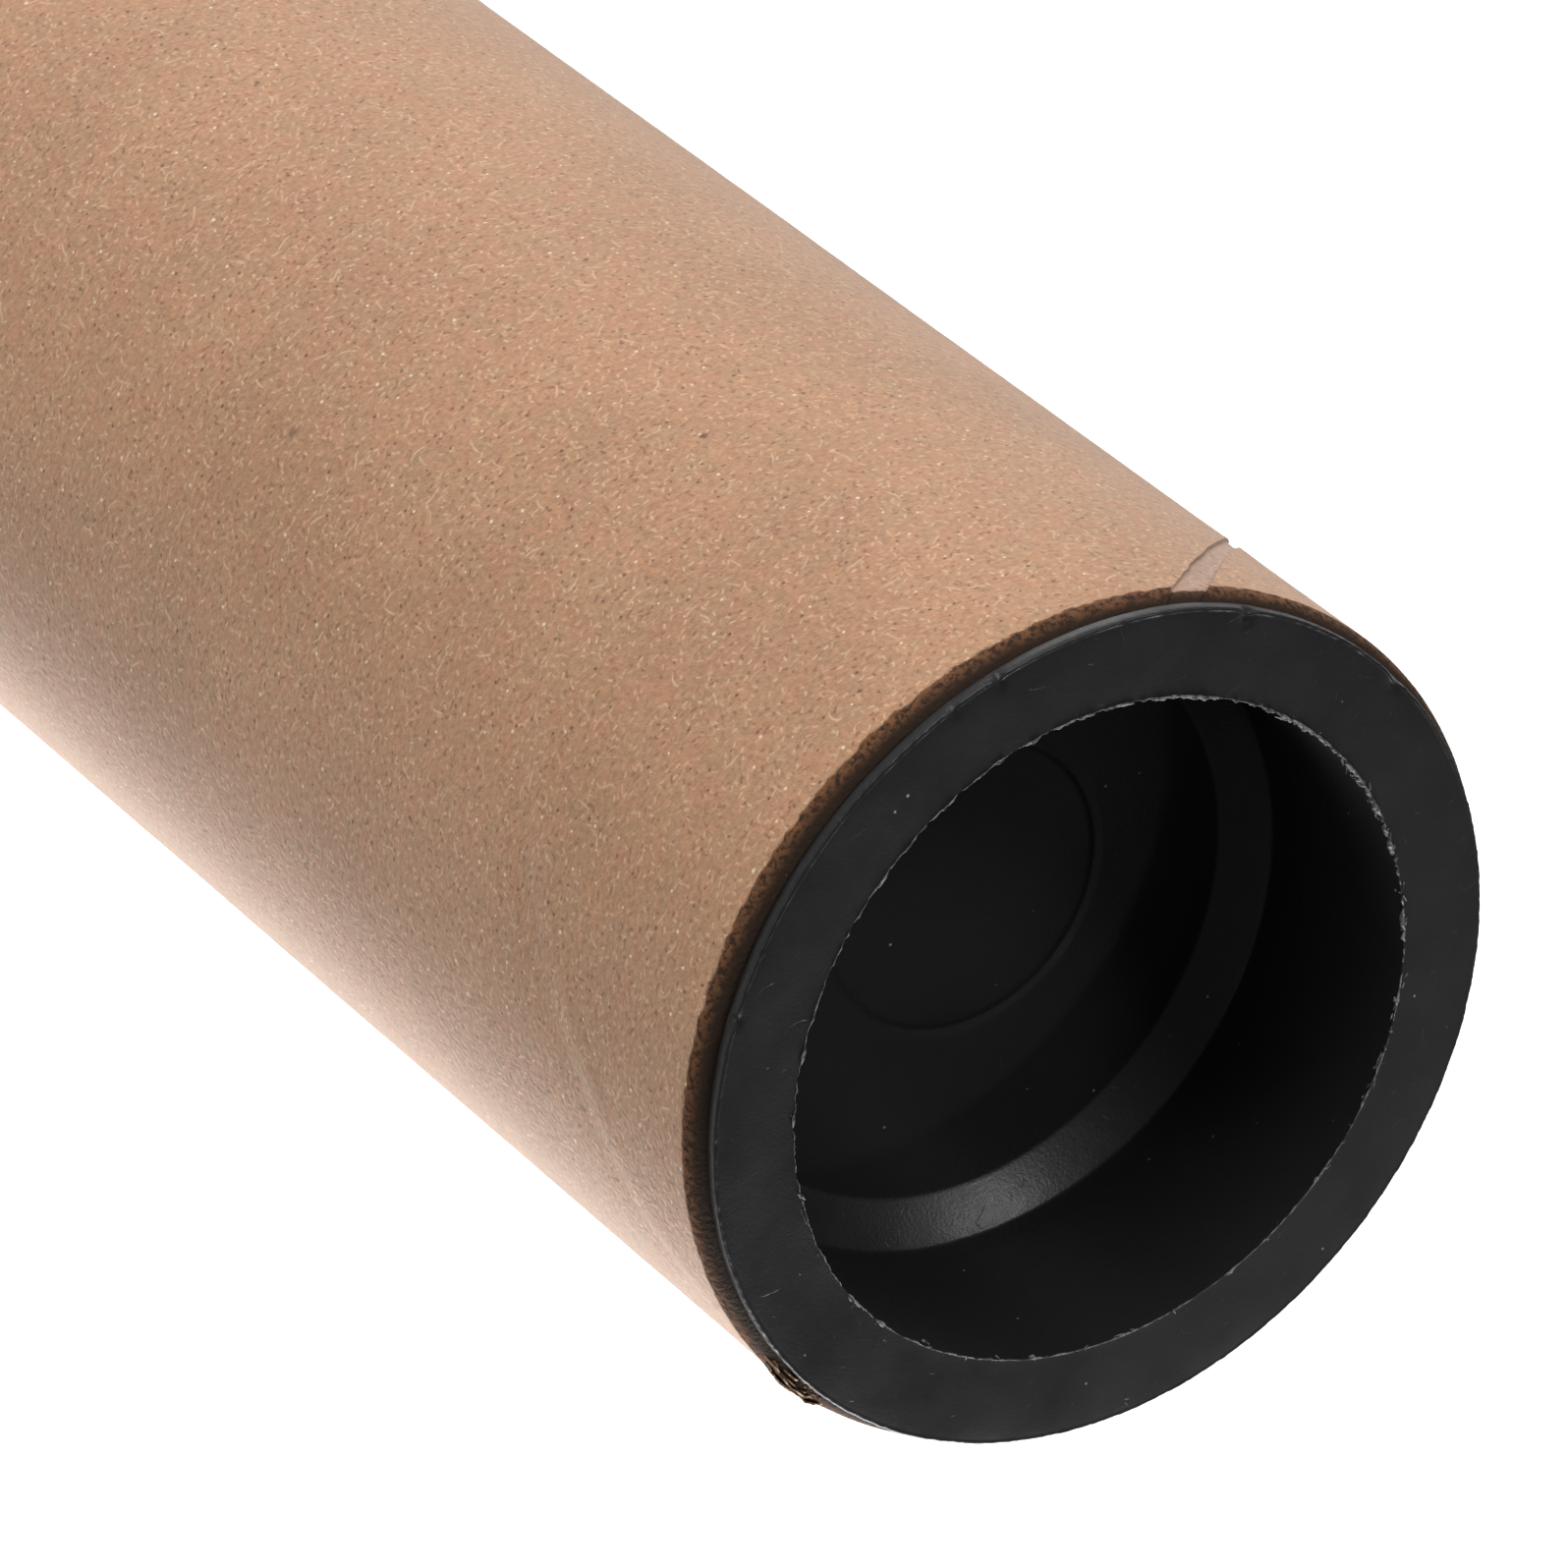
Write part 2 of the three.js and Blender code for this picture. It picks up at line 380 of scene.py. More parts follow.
def kraftStainAndShade(tree, look, place, grain):
    # the rolled corner at each cut end is rubbed dark and also painted dark as its shade, with a ragged
    # edge, and painted darker still as the shade by the plug
    ragged = addNode(tree, "TexNoise", {}, {
        "Vector": place, "Scale": perMm(look["rag"]), "Detail": 3.0, "Roughness": 0.65})
    height = addNode(tree, "SeparateXYZ", {}, {0: place}).outputs[2]
    fromMiddle = addNode(tree, "Math", {"operation": "SUBTRACT"}, {0: height, 1: tubeMiddle * mm})
    outward = addNode(tree, "Math", absolute, {0: fromMiddle})
    jitter = addNode(tree, "Math", timesPlus, {0: ragged, 1: look["ragLength"] * mm, 2: outward})
    edge = ((tubeTop - tubeBottom) / 2 - look["stainAndShadeFrom"] + look["ragLength"] / 2) * mm
    before, after = look["stainAndShadeEdge"]
    # mask of the band at each cut end: real wear and dirt, and painted shade as well
    stainedAndShaded = addNode(tree, "MapRange", eased,
                      {"Value": jitter, **limits("From", (edge - before * mm, edge + after * mm))})

    around = addNode(tree, "VectorMath", times, {0: place, 1: (1, 1, 0)})
    radius = addNode(tree, "VectorMath", {"operation": "LENGTH"}, {0: around}).outputs["Value"]
    inward = addNode(tree, "Math", timesPlus, {0: ragged, 1: -look["ragDepth"] * mm, 2: radius})
    # painted shade: darker where the rolled corner draws in under the plug's flange
    full, start = look["plugShadeFrom"]
    deep = addNode(tree, "MapRange", eased, {
        "Value": inward, **limits("From", ((tubeRadius - full) * mm, (tubeRadius - start) * mm)),
        **limits("To", (1.0, 0.0))})
    # colours of the band: rubbed, dirty board, painted darker also as its shade
    wornAndShaded, dirtyAndShaded = look["stainAndShade"]
    streaks = addNode(tree, "MapRange", {}, {"Value": grain, **limits("From", look["streakSpan"])})
    rolled = addNode(tree, "Mix", mixColours,
                     {0: streaks, 6: linear(dirtyAndShaded), 7: linear(wornAndShaded)}).outputs[2]
    rubbedAndShaded = addNode(tree, "Mix", mixColours,
                     {0: deep, 6: rolled, 7: linear(look["plugShadeColour"])}).outputs[2]
    return stainedAndShaded, rubbedAndShaded


def kraftPaper(name, look):
    material, tree, shader = newMaterial(name)
    place = addNode(tree, "TexCoord").outputs["Object"]
    layout = addNode(tree, "UVMap", {"uv_map": "plyLayout"})
    grain = addNode(tree, "TexNoise", {}, {
        "Vector": place, "Scale": perMm(look["grain"]), "Detail": 2.0, "Roughness": 0.6})
    paper = kraftMarks(tree, look, place, layout, kraftPulp(tree, look, place, grain))
    # the worn end band, painted darker with its shade too, and the painted shade by the plug
    stainedAndShaded, rubbedAndShaded = kraftStainAndShade(tree, look, place, grain)
    colour = addNode(tree, "Mix", mixColours, {0: stainedAndShaded, 6: paper, 7: rubbedAndShaded}).outputs[2]
    bump = addNode(tree, "Bump", {}, {"Height": grain, "Strength": 1.0, "Distance": look["relief"] * mm})
    specular, sheen = [addNode(tree, "MapRange", {}, {"Value": stainedAndShaded, **limits("To", look[finish])})
                       for finish in ("specular", "sheen")]
    fillInputs(tree, shader, {
        "Base Color": colour, "Normal": bump, "Roughness": look["roughness"], "IOR": look["ior"],
        "Specular IOR Level": specular, "Sheen Weight": sheen, "Sheen Roughness": look["sheenRoughness"]})
    return material


# Cut board: the plies seen end on, sawn and slightly torn, darker and rougher than the face,
# because light sinks in between the fibres.

cutLook = {
    "pale": "#7a604c",
    "dark": "#38291f",
    "plyPitch": 0.45,  # mm
    "tuft": 0.5,  # mm across the tufts of fibre
    "tuftReach": 0.25,  # mm that they push the plies aside
    "span": (0.05, 0.55),
    "relief": 0.12,  # mm
    "bumpStrength": 0.8,
    "roughness": 0.95,
}
tornPaintedLitLook = dict(cutLook, pale="#d8b899", dark="#96745b", plyPitch=0.25)  # split board, painted paler to stand in for light that the sheets under the flange don't get


def cutBoard(name, look):
    material, tree, shader = newMaterial(name)
    place = addNode(tree, "TexCoord").outputs["Object"]
    flat = addNode(tree, "VectorMath", times, {0: place, 1: (1, 1, 0)})
    radius = addNode(tree, "VectorMath", {"operation": "LENGTH"}, {0: flat}).outputs["Value"]
    rough = addNode(tree, "TexNoise", {}, {
        "Vector": place, "Scale": perMm(look["tuft"]), "Detail": 4.0, "Roughness": 0.7})
    wander = addNode(tree, "Math", timesPlus, {0: rough, 1: look["tuftReach"] * mm, 2: radius})
    phase = addNode(tree, "Math", times, {0: wander, 1: 2 * math.pi * perMm(look["plyPitch"])})
    plies = addNode(tree, "Math", {"operation": "SINE"}, {0: phase})
    plyMix = addNode(tree, "MapRange", {}, {"Value": plies, **limits("From", (-1.0, 1.0))})
    mottled = addNode(tree, "Math", times, {0: plyMix, 1: rough})
    mixed = addNode(tree, "MapRange", {}, {"Value": mottled, **limits("From", look["span"])})
    colour = addNode(tree, "Mix", mixColours,
                     {0: mixed, 6: linear(look["dark"]), 7: linear(look["pale"])}).outputs[2]
    bump = addNode(tree, "Bump", {}, {
        "Height": mottled, "Strength": look["bumpStrength"], "Distance": look["relief"] * mm})
    fillInputs(tree, shader, {"Base Color": colour, "Normal": bump, "Roughness": look["roughness"]})
    return material


# Black polyethylene, injection moulded from regrind: a soft satin skin with a faint pebble from the tool,
# fine scratches from loose packing, and pale dust that static holds in the cup.

plasticLook = {
    "base": "#1f1f21",
    "scuff": "#4a4a4d",
    "dust": "#b9b6b0",
    "blotch": 5.0,  # mm across the duller and glossier parts of the skin
    "blotchSpan": (0.3, 0.7),
    "roughness": (0.30, 0.44),
    "ior": 1.51,
    "specular": 0.27,  # the dusty skin mirrors less than clean plastic
    "pebble": 0.22,  # mm
    "scratches": [(3.6, 1.7, 0.045, 0.30, 21), (1.5, 0.5, 0.050, 0.28, 22)],  # as the paper's strokes
    "scratchStrength": 0.30,
    "specks": (1.6, 0.06, 0.16, 0.25, 23),  # of dust, as the paper's dots
    "dustStrength": 0.9,
    "relief": 0.02,  # mm, of the pebble
    "scratchRelief": -0.8,  # of that, and so the next one
    "blotchRelief": 2.5,
    "bumpStrength": 0.8,
}


def mouldedPlastic():
    look = plasticLook
    material, tree, shader = newMaterial("mouldedPolyethylene")
    place = addNode(tree, "TexCoord").outputs["Object"]
    inMm = addNode(tree, "VectorMath", {"operation": "SCALE"}, {0: place, "Scale": 1 / mm})
    scratches = strokeSum(tree, look["scratches"], inMm)
    scratchAmount = addNode(tree, "Math", times, {0: scratches, 1: look["scratchStrength"]})
    scuffed = addNode(tree, "Mix", mixColours,
                      {0: scratchAmount, 6: linear(look["base"]), 7: linear(look["scuff"])}).outputs[2]
    dust = dotMask(tree, look["specks"], inMm, flat=False)
    dustAmount = addNode(tree, "Math", times, {0: dust, 1: look["dustStrength"]})
    colour = addNode(tree, "Mix", mixColours,
                     {0: dustAmount, 6: scuffed, 7: linear(look["dust"])}).outputs[2]
    blotch = addNode(tree, "TexNoise", {}, {
        "Vector": place, "Scale": perMm(look["blotch"]), "Detail": 5.0, "Roughness": 0.62})
    rough = addNode(tree, "MapRange", {}, {
        "Value": blotch, **limits("From", look["blotchSpan"]), **limits("To", look["roughness"])})
    pebble = addNode(tree, "TexNoise", {}, {
        "Vector": place, "Scale": perMm(look["pebble"]), "Detail": 2.0})
    scored = addNode(tree, "Math", timesPlus, {0: scratches, 1: look["scratchRelief"], 2: pebble})
    surface = addNode(tree, "Math", timesPlus, {0: blotch, 1: look["blotchRelief"], 2: scored})
    bump = addNode(tree, "Bump", {}, {
        "Height": surface, "Strength": look["bumpStrength"], "Distance": look["relief"] * mm})
    fillInputs(tree, shader, {
        "Base Color": colour, "Normal": bump, "Roughness": rough, "IOR": look["ior"],
        "Specular IOR Level": look["specular"]})
    return material


# The same polyethylene where the mould's flash has torn: stretched, so it is paler and matt

flashLook = {
    "dark": "#2c2c2e",
    "pale": "#78787b",
    "streak": 0.5,  # mm
    "streakSpan": (0.4, 0.62),
    "roughness": 0.6,
    "ior": 1.51,
}


def tornPlastic():
    look = flashLook
    material, tree, shader = newMaterial("tornFlash")
    place = addNode(tree, "TexCoord").outputs["Object"]
    streak = addNode(tree, "TexNoise", {}, {
        "Vector": place, "Scale": perMm(look["streak"]), "Detail": 3.0})
    amount = addNode(tree, "MapRange", {}, {"Value": streak, **limits("From", look["streakSpan"])})
    colour = addNode(tree, "Mix", mixColours,
                     {0: amount, 6: linear(look["dark"]), 7: linear(look["pale"])}).outputs[2]
    fillInputs(tree, shader, {"Base Color": colour, "Roughness": look["roughness"], "IOR": look["ior"]})
    return material


kraftMaterial = kraftPaper("kraftPaper", kraftLook)
# the ply below is greyer, with a film of glue
innerPly = dict(kraftLook, warm="#ad8a74", cool="#a58672", lightFibre="#c8ac98", relief=0.10, stainAndShadeFrom=1.15)
innerMaterial = kraftPaper("kraftInnerPly", innerPly)
cutMaterial = cutBoard("cutBoard", cutLook)
tornPaintedLitMaterial = cutBoard("tornBoardPaintedLit", tornPaintedLitLook)
plasticMaterial = mouldedPlastic()
flashMaterial = tornPlastic()
print("materials made")


# The tube. Its mesh follows the helix, so that both edges of the outermost ply lie on mesh edges.

tubeShape = {
    "ply": 0.2,  # mm, thickness of the outermost ply
    "gap": 1.1,  # mm, open gap between the ply's edges, square to them
    "gapAtEnd": 2.0,  # it widens towards the upper cut end
    "gapFlare": 12.0,  # mm of length over which it does
    "windingAngle": 43.8,  # degrees between the ply's edge and the cut end
    "seamAngle": -145.0,  # degrees round from +X where the gap meets the upper cut end
    "ragged": [(0.10, 0.07), (0.20, 0.12)],  # coarse and fine wander of each ply edge, in half gaps
    "raggedSizes": (1.9, 0.8),  # mm
    "edgeLift": (0.035, 0.9),  # mm that the ply's edges stand up, and mm over which they do
    "waves": [(0.030, 14.0, 5), (0.012, 2.2, 6)],  # mm high, mm across, seed
    "waveRoom": 0.05,  # mm under the true radius, which the waves need
    "bore": 25.0,  # mm, radius
    "boreBreak": 0.4,  # mm, chamfer at its mouths
    "faceRing": 27.2,  # mm, radius of a ring of corners on each cut face
    "endRound": 1.25,  # mm, outer corner of the cut ends
    "endSteps": 8,
    "endWobble": (0.16, 3.0),  # share by which that corner varies, and mm across
    "rowSteps": [(18.0, 0.3), (128.0, 1.0), (500.0, 3.4)],  # mm below the upper end, and mm between rows
    "lastRow": 4.0,  # mm above the lower corner
    "floorColumns": 5,
    "closeColumns": [0, 0.0006, 0.0014, 0.0026, 0.0044],  # shares of the ply's width, from either edge
    "evenColumns": 267,
    "evenFrom": 0.007,  # share where these start
    "sharpFrom": 50,  # degrees
    "creaseRise": 21.7,  # mm up for each radian round, of the ridge that an inner ply's edge leaves
    "creaseDepth": 16.4,  # mm below the flange's face, at creaseAngle
    "creaseAngle": -48.0,
    "creaseFade": (50, 75),  # degrees to either side
    "creaseStart": 4,  # mm below the cut end
    "creaseRidge": (0.07, 0.4, 1.0),  # mm high, mm above the crease's line, half width in mm
    "creaseGroove": (0.05, -1.6, 1.3),  # mm deep
    "frayAngle": -1.0,  # degrees, middle of the frayed corner at the upper end
    "frayWidth": 4.5,  # degrees
    "fray": (0.42, 3.2),  # mm that it puffs out, and mm down from the end
    "frayLimit": 0.45,
}
winding = math.radians(tubeShape["windingAngle"])
seam = math.radians(tubeShape["seamAngle"])
seamRise = tubeRadius * math.tan(winding)   # mm up for each radian round


def tubeRows():  # heights from the top down, and how far the rounded corners draw in there
    corner, steps = tubeShape["endRound"], tubeShape["endSteps"]
    rows = []
    for k in range(steps + 1):
        t = math.pi / 2 * (1 - k / steps)
        rows.append((tubeTop - corner * (1 - math.sin(t)), corner * (1 - math.cos(t))))
    z = tubeTop - corner
    while z > tubeBottom + corner + tubeShape["lastRow"]:
        z -= next(step for reach, step in tubeShape["rowSteps"] if tubeTop - z < reach)
        rows.append((z, 0.0))
    for k in range(steps + 1):
        t = math.pi / 2 * k / steps
        rows.append((tubeBottom + corner * (1 - math.sin(t)), corner * (1 - math.cos(t))))
    return np.array(rows)[:, :1], np.array(rows)[:, 1:]


def tubeColumns(heights):  # angles from the seam's middle: across the gap's floor, then round the ply
    s = tubeShape
    flare = 1 - smooth(0, s["gapFlare"], tubeTop - heights)
    square = s["gap"] + (s["gapAtEnd"] - s["gap"]) * flare
    half = square / math.sin(winding) / 2 / tubeRadius  # half the gap, as an angle
    coarse, fine = s["raggedSizes"]
    before, after = [
        half * (1 + wide * wobble(heights, 9 * side, 0, coarse, 2 * side + 1)
                + narrow * wobble(heights, 9 * side, 0, fine, 2 * side + 2))
        for side, (wide, narrow) in enumerate(s["ragged"])]
    floorShares = np.linspace(0, 1, s["floorColumns"])[None, :]
    close = np.array(s["closeColumns"])
    even = np.linspace(s["evenFrom"], 1 - s["evenFrom"], s["evenColumns"])
    shares = np.concatenate([close, even, 1 - close[::-1]])[None, :]
    floorAngles = -before + (before + after) * floorShares
    plyAngles = after + (2 * math.pi - before - after) * shares
    return np.concatenate([floorAngles, plyAngles], axis=1), shares


def tubeSurface(theta, heights, insets, shares):  # radius of the face: waves, ridge, frayed corner
    s = tubeShape
    depth = tubeTop - heights
    x, y = np.cos(theta) * tubeRadius, np.sin(theta) * tubeRadius
    bearing = np.degrees(theta) % 360
    radius = tubeRadius - s["waveRoom"]
    for high, across, seed in s["waves"]:
        radius = radius + high * wobble(x, y, heights + 0 * theta, across, seed)

    raised, fade = s["edgeLift"]
    edgeDistance = np.minimum(shares, 1 - shares) * 2 * math.pi * tubeRadius * math.sin(winding)
    lift = np.exp(-edgeDistance / fade) * raised + 0 * heights
    radius = radius + np.concatenate([np.zeros((len(heights), s["floorColumns"])), lift], axis=1)

    creaseTurn = turnFrom(s["creaseAngle"], bearing)
    creaseHeight = flangeTop - s["creaseDepth"] + math.radians(1) * s["creaseRise"] * creaseTurn
    off = (heights - creaseHeight) * math.cos(math.atan(s["creaseRise"] / tubeRadius))
    near, far = s["creaseFade"]
    strength = smooth(-far, -near, -np.abs(creaseTurn)) * smooth(0, s["creaseStart"], depth)
    high, ridgeAt, ridgeWidth = s["creaseRidge"]
    deep, grooveAt, grooveWidth = s["creaseGroove"]
    crease = strength * (high * hump(off - ridgeAt, ridgeWidth) - deep * hump(off - grooveAt, grooveWidth))

    out, down = s["fray"]
    frayed = hump(turnFrom(s["frayAngle"], bearing), s["frayWidth"])
    radius = radius + crease + out * frayed * smooth(-down, 0, -depth)
    vary, size = s["endWobble"]
    onFloor = np.arange(theta.shape[1]) < s["floorColumns"]
    radius = radius - insets * (1 + vary * wobble(x, y, 0, size, 7))
    radius = radius - np.where(onFloor, s["ply"], 0.0)[None, :]
    return np.minimum(radius, tubeRadius + s["frayLimit"] * frayed)


def plyLayout(cloud, angles, row, column, nextRow, nextColumn):  # mm along the web, and across it
    bearing = np.concatenate([angles, np.repeat(angles[-1:], len(cloud) - len(angles), axis=0)], axis=0)
    height = cloud[:, :, 2]
    arc = tubeRadius * (bearing + seam) + (height - tubeTop) / math.tan(winding)
    along = arc * math.cos(winding) + height * math.sin(winding)
    across = height * math.cos(winding) - arc * math.sin(winding)
    rows = np.array([row, nextRow, nextRow, row]).transpose(1, 2, 0).reshape(-1, 4)
    columns = np.array([column, column, nextColumn, nextColumn]).transpose(1, 2, 0).reshape(-1, 4)
    wrapped = (columns == 0) & (column.reshape(-1, 1) == cloud.shape[1] - 1)
    wayRound = 2 * math.pi * tubeRadius
    return np.stack([along[rows, columns] + np.where(wrapped, wayRound * math.cos(winding), 0),
                     across[rows, columns] - np.where(wrapped, wayRound * math.sin(winding), 0)], axis=2)


def makeTube():
    s = tubeShape
    heights, insets = tubeRows()
    angles, shares = tubeColumns(heights)
    theta = seam + (heights - tubeTop) / seamRise + angles
    radius = tubeSurface(theta, heights, insets, shares)
    nRows, nColumns = theta.shape

    # rings of one corner a column close the shape over the cut faces and through the bore
    rings = [np.stack([radius * np.cos(theta), radius * np.sin(theta), heights + 0 * theta], axis=2)]
    bore, edge = s["bore"], s["boreBreak"]
    for z, r in ((tubeBottom, s["faceRing"]), (tubeBottom, bore + edge), (tubeBottom + edge, bore),
                 (tubeTop - edge, bore), (tubeTop, bore + edge), (tubeTop, s["faceRing"])):
        at = seam + (z - tubeTop) / seamRise + angles[-1 if z < tubeMiddle else 0]
        rings.append(np.stack([r * np.cos(at), r * np.sin(at), np.full(nColumns, z)], axis=1)[None])
    cloud = np.concatenate(rings, axis=0)
    row, column = np.meshgrid(np.arange(len(cloud)), np.arange(nColumns), indexing="ij")
    nextRow, nextColumn = (row + 1) % len(cloud), (column + 1) % nColumns
    faces = np.stack([row * nColumns + column, nextRow * nColumns + column,
                      nextRow * nColumns + nextColumn, row * nColumns + nextColumn], axis=2).reshape(-1, 4)

    # the cut faces are bare board, and the gap shows the next ply on its floor and sides
    faceRow, faceColumn = row.reshape(-1), column.reshape(-1)
    onCut = (faceRow >= nRows - 1) & ((faceRow < nRows + 1) | (faceRow >= nRows + 4))
    inGap = (faceRow < nRows - 1) & ((faceColumn < s["floorColumns"]) | (faceColumn == nColumns - 1))
    slots = np.where(onCut, 1, np.where(inGap, 2, 0))
    piece = makePiece("kraft_tube", cloud.reshape(-1, 3), faces, [kraftMaterial, cutMaterial, innerMaterial],
                      slots, plyLayout(cloud, angles, row, column, nextRow, nextColumn))
    piece.data.set_sharp_from_angle(angle=math.radians(s["sharpFrom"]))
    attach(piece, "tube")
    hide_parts("tube")
    return piece


tubePiece = makeTube()
print("tube made: %d faces" % len(tubePiece.data.polygons))


# Paper fluff at both cut ends

fluffShape = {
    "hairs": 800,  # at the upper end
    "fewer": 3,  # times fewer at the lower one
    "length": (0.12, 0.55),  # mm
    "thickness": 0.030,
    "taper": 0.6,
    "over": (0.05, 0.95),  # share of the rounded corner that they grow on
    "inset": 0.1,  # mm, of the skin there, to seat them in the wobbly corner
    "root": 0.05,  # mm sunk in
    "rise": (0.1, 0.5),  # shares of the normal, the way round and the way up in their direction
    "turn": (-1, 1),
    "climb": (-0.6, 0.5),
    "bendRound": (-0.6, 0.6),
    "bendDown": (0.1, 0.5),
    "seed": 7,
}


def hair(points, faces, start, direction, length, bend):  # a three-sided tapering fibre
    side = direction.cross(Vector((0.3, 0.2, 1))).normalized()
    other = direction.cross(side).normalized()
    first = len(points)
    for step in range(4):
        t = step / 3
        centre = start + direction * length * t + bend * length * t * t
        r = fluffShape["thickness"] * (1 - fluffShape["taper"] * t) / 2
        for k in range(3):
            a = 2 * math.pi * k / 3
            points.append(centre + side * r * math.cos(a) + other * r * math.sin(a))
    for step in range(3):
        for k in range(3):
            a, b = first + step * 3 + k, first + step * 3 + (k + 1) % 3
            faces.append((a, b, b + 3, a + 3))
    faces.append((first + 2, first + 1, first))
    faces.append((first + 9, first + 10, first + 11))


def makeFluff():
    f = fluffShape
    corner = tubeShape["endRound"]
    dice = random.Random(f["seed"])
    points, faces = [], []
    for end, up, count in ((tubeTop, 1, f["hairs"]), (tubeBottom, -1, f["hairs"] // f["fewer"])):
        for _ in range(count):
            angle = dice.uniform(0, 2 * math.pi)
            t = dice.uniform(*f["over"]) * math.pi / 2
            r = tubeRadius - f["inset"] - corner * (1 - math.cos(t))
            outward = Vector((math.cos(angle), math.sin(angle), 0))
            tangent = Vector((-math.sin(angle), math.cos(angle), 0))
            normal = outward * math.cos(t) + Vector((0, 0, up * math.sin(t)))
            start = outward * r + Vector((0, 0, end - up * corner * (1 - math.sin(t)))) - normal * f["root"]
            way = (normal * dice.uniform(*f["rise"]) + tangent * dice.uniform(*f["turn"])
                   + Vector((0, 0, up)) * dice.uniform(*f["climb"])).normalized()
            bend = tangent * dice.uniform(*f["bendRound"]) - normal * dice.uniform(*f["bendDown"])
            hair(points, faces, start, way, dice.uniform(*f["length"]), bend)
    piece = makePiece("end_fluff", [tuple(p) for p in points], faces, [cutMaterial])
    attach(piece, "tube")


# Plies that have come apart where a corner of the upper end was knocked

flakeShape = {
    "sheets": 8,
    "thickness": 0.13,  # mm
    "middle": -0.5,  # degrees round from +X
    "middleJitter": 3.0,
    "spread": 11.0,  # degrees either way that a whole sheet would reach
    "reach": (0.3, 0.8),  # least and most of it
    "inner": 0.95,  # mm inside the tube's radius, of the innermost sheet
    "fan": 1.25,  # mm from it to the outermost one
    "top": 0.15,  # mm above the cut end, of the innermost sheet
    "topStep": 0.35,  # mm lower at the outermost one
    "topJitter": 0.12,
    "curl": 0.16,  # mm in and out, slow
    "crumple": 0.07,  # mm in and out, quick
    "tatter": 0.40,  # mm up and down
    "endDrop": 0.9,  # mm that a sheet's ends lie lower
    "endInset": 0.9,  # mm inside the tube's radius, of its ends
    "rootInset": 0.25,
    "rootDepth": 2.2,  # mm below the cut end
    "steps": 24,
    "seed": 11,
}


def makeTornCorner():
    f = flakeShape
    dice = random.Random(f["seed"])
    points, faces, slots = [], [], []
    for sheet in range(f["sheets"]):
        share = sheet / (f["sheets"] - 1)
        radius = tubeRadius - f["inner"] + f["fan"] * share
        middle = f["middle"] + dice.uniform(-f["middleJitter"], f["middleJitter"])
        reach = f["spread"] * dice.uniform(*f["reach"])
        top = tubeTop + f["top"] - f["topStep"] * share + dice.uniform(-f["topJitter"], f["topJitter"])
        root = min(radius, tubeRadius) - f["rootInset"]
        first = len(points)
        for k in range(f["steps"] + 1):
            t = k / f["steps"] * 2 - 1
            turn = math.radians(middle + reach * t)
            fade = 1 - t * t
            curl = (f["curl"] * noise.noise((sheet * 3.1, t * 4.0, 1.0))
                    + f["crumple"] * noise.noise((sheet * 5.7, t * 14.0, 4.0)))
            height = top + f["tatter"] * noise.noise((sheet * 2.3, t * 7.0, 9.0)) - (1 - fade) * f["endDrop"]
            lean = radius * fade + (tubeRadius - f["endInset"]) * (1 - fade) + curl
            for r, z in ((root, tubeTop - f["rootDepth"]), (lean, height)):
                for side in (-0.5, 0.5):
                    skin = r + side * f["thickness"]
                    points.append((skin * math.cos(turn), skin * math.sin(turn), z))
        for k in range(f["steps"]):
            a = first + 4 * k
            faces += [(a, a + 2, a + 6, a + 4), (a + 1, a + 5, a + 7, a + 3), (a + 2, a + 3, a + 7, a + 6)]
            slots += [1, 1, 0]  # rubbed board on both sides, and along the top the tear, painted paler as light
    piece = makePiece("torn_corner", points, faces, [tornPaintedLitMaterial, cutMaterial], slots, smoothShade=False)
    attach(piece, "tube")


makeFluff()
makeTornCorner()
print("fluff and torn corner made")


# The plug, turned from one outline and then spoiled a little: warped rim, flash and nicks

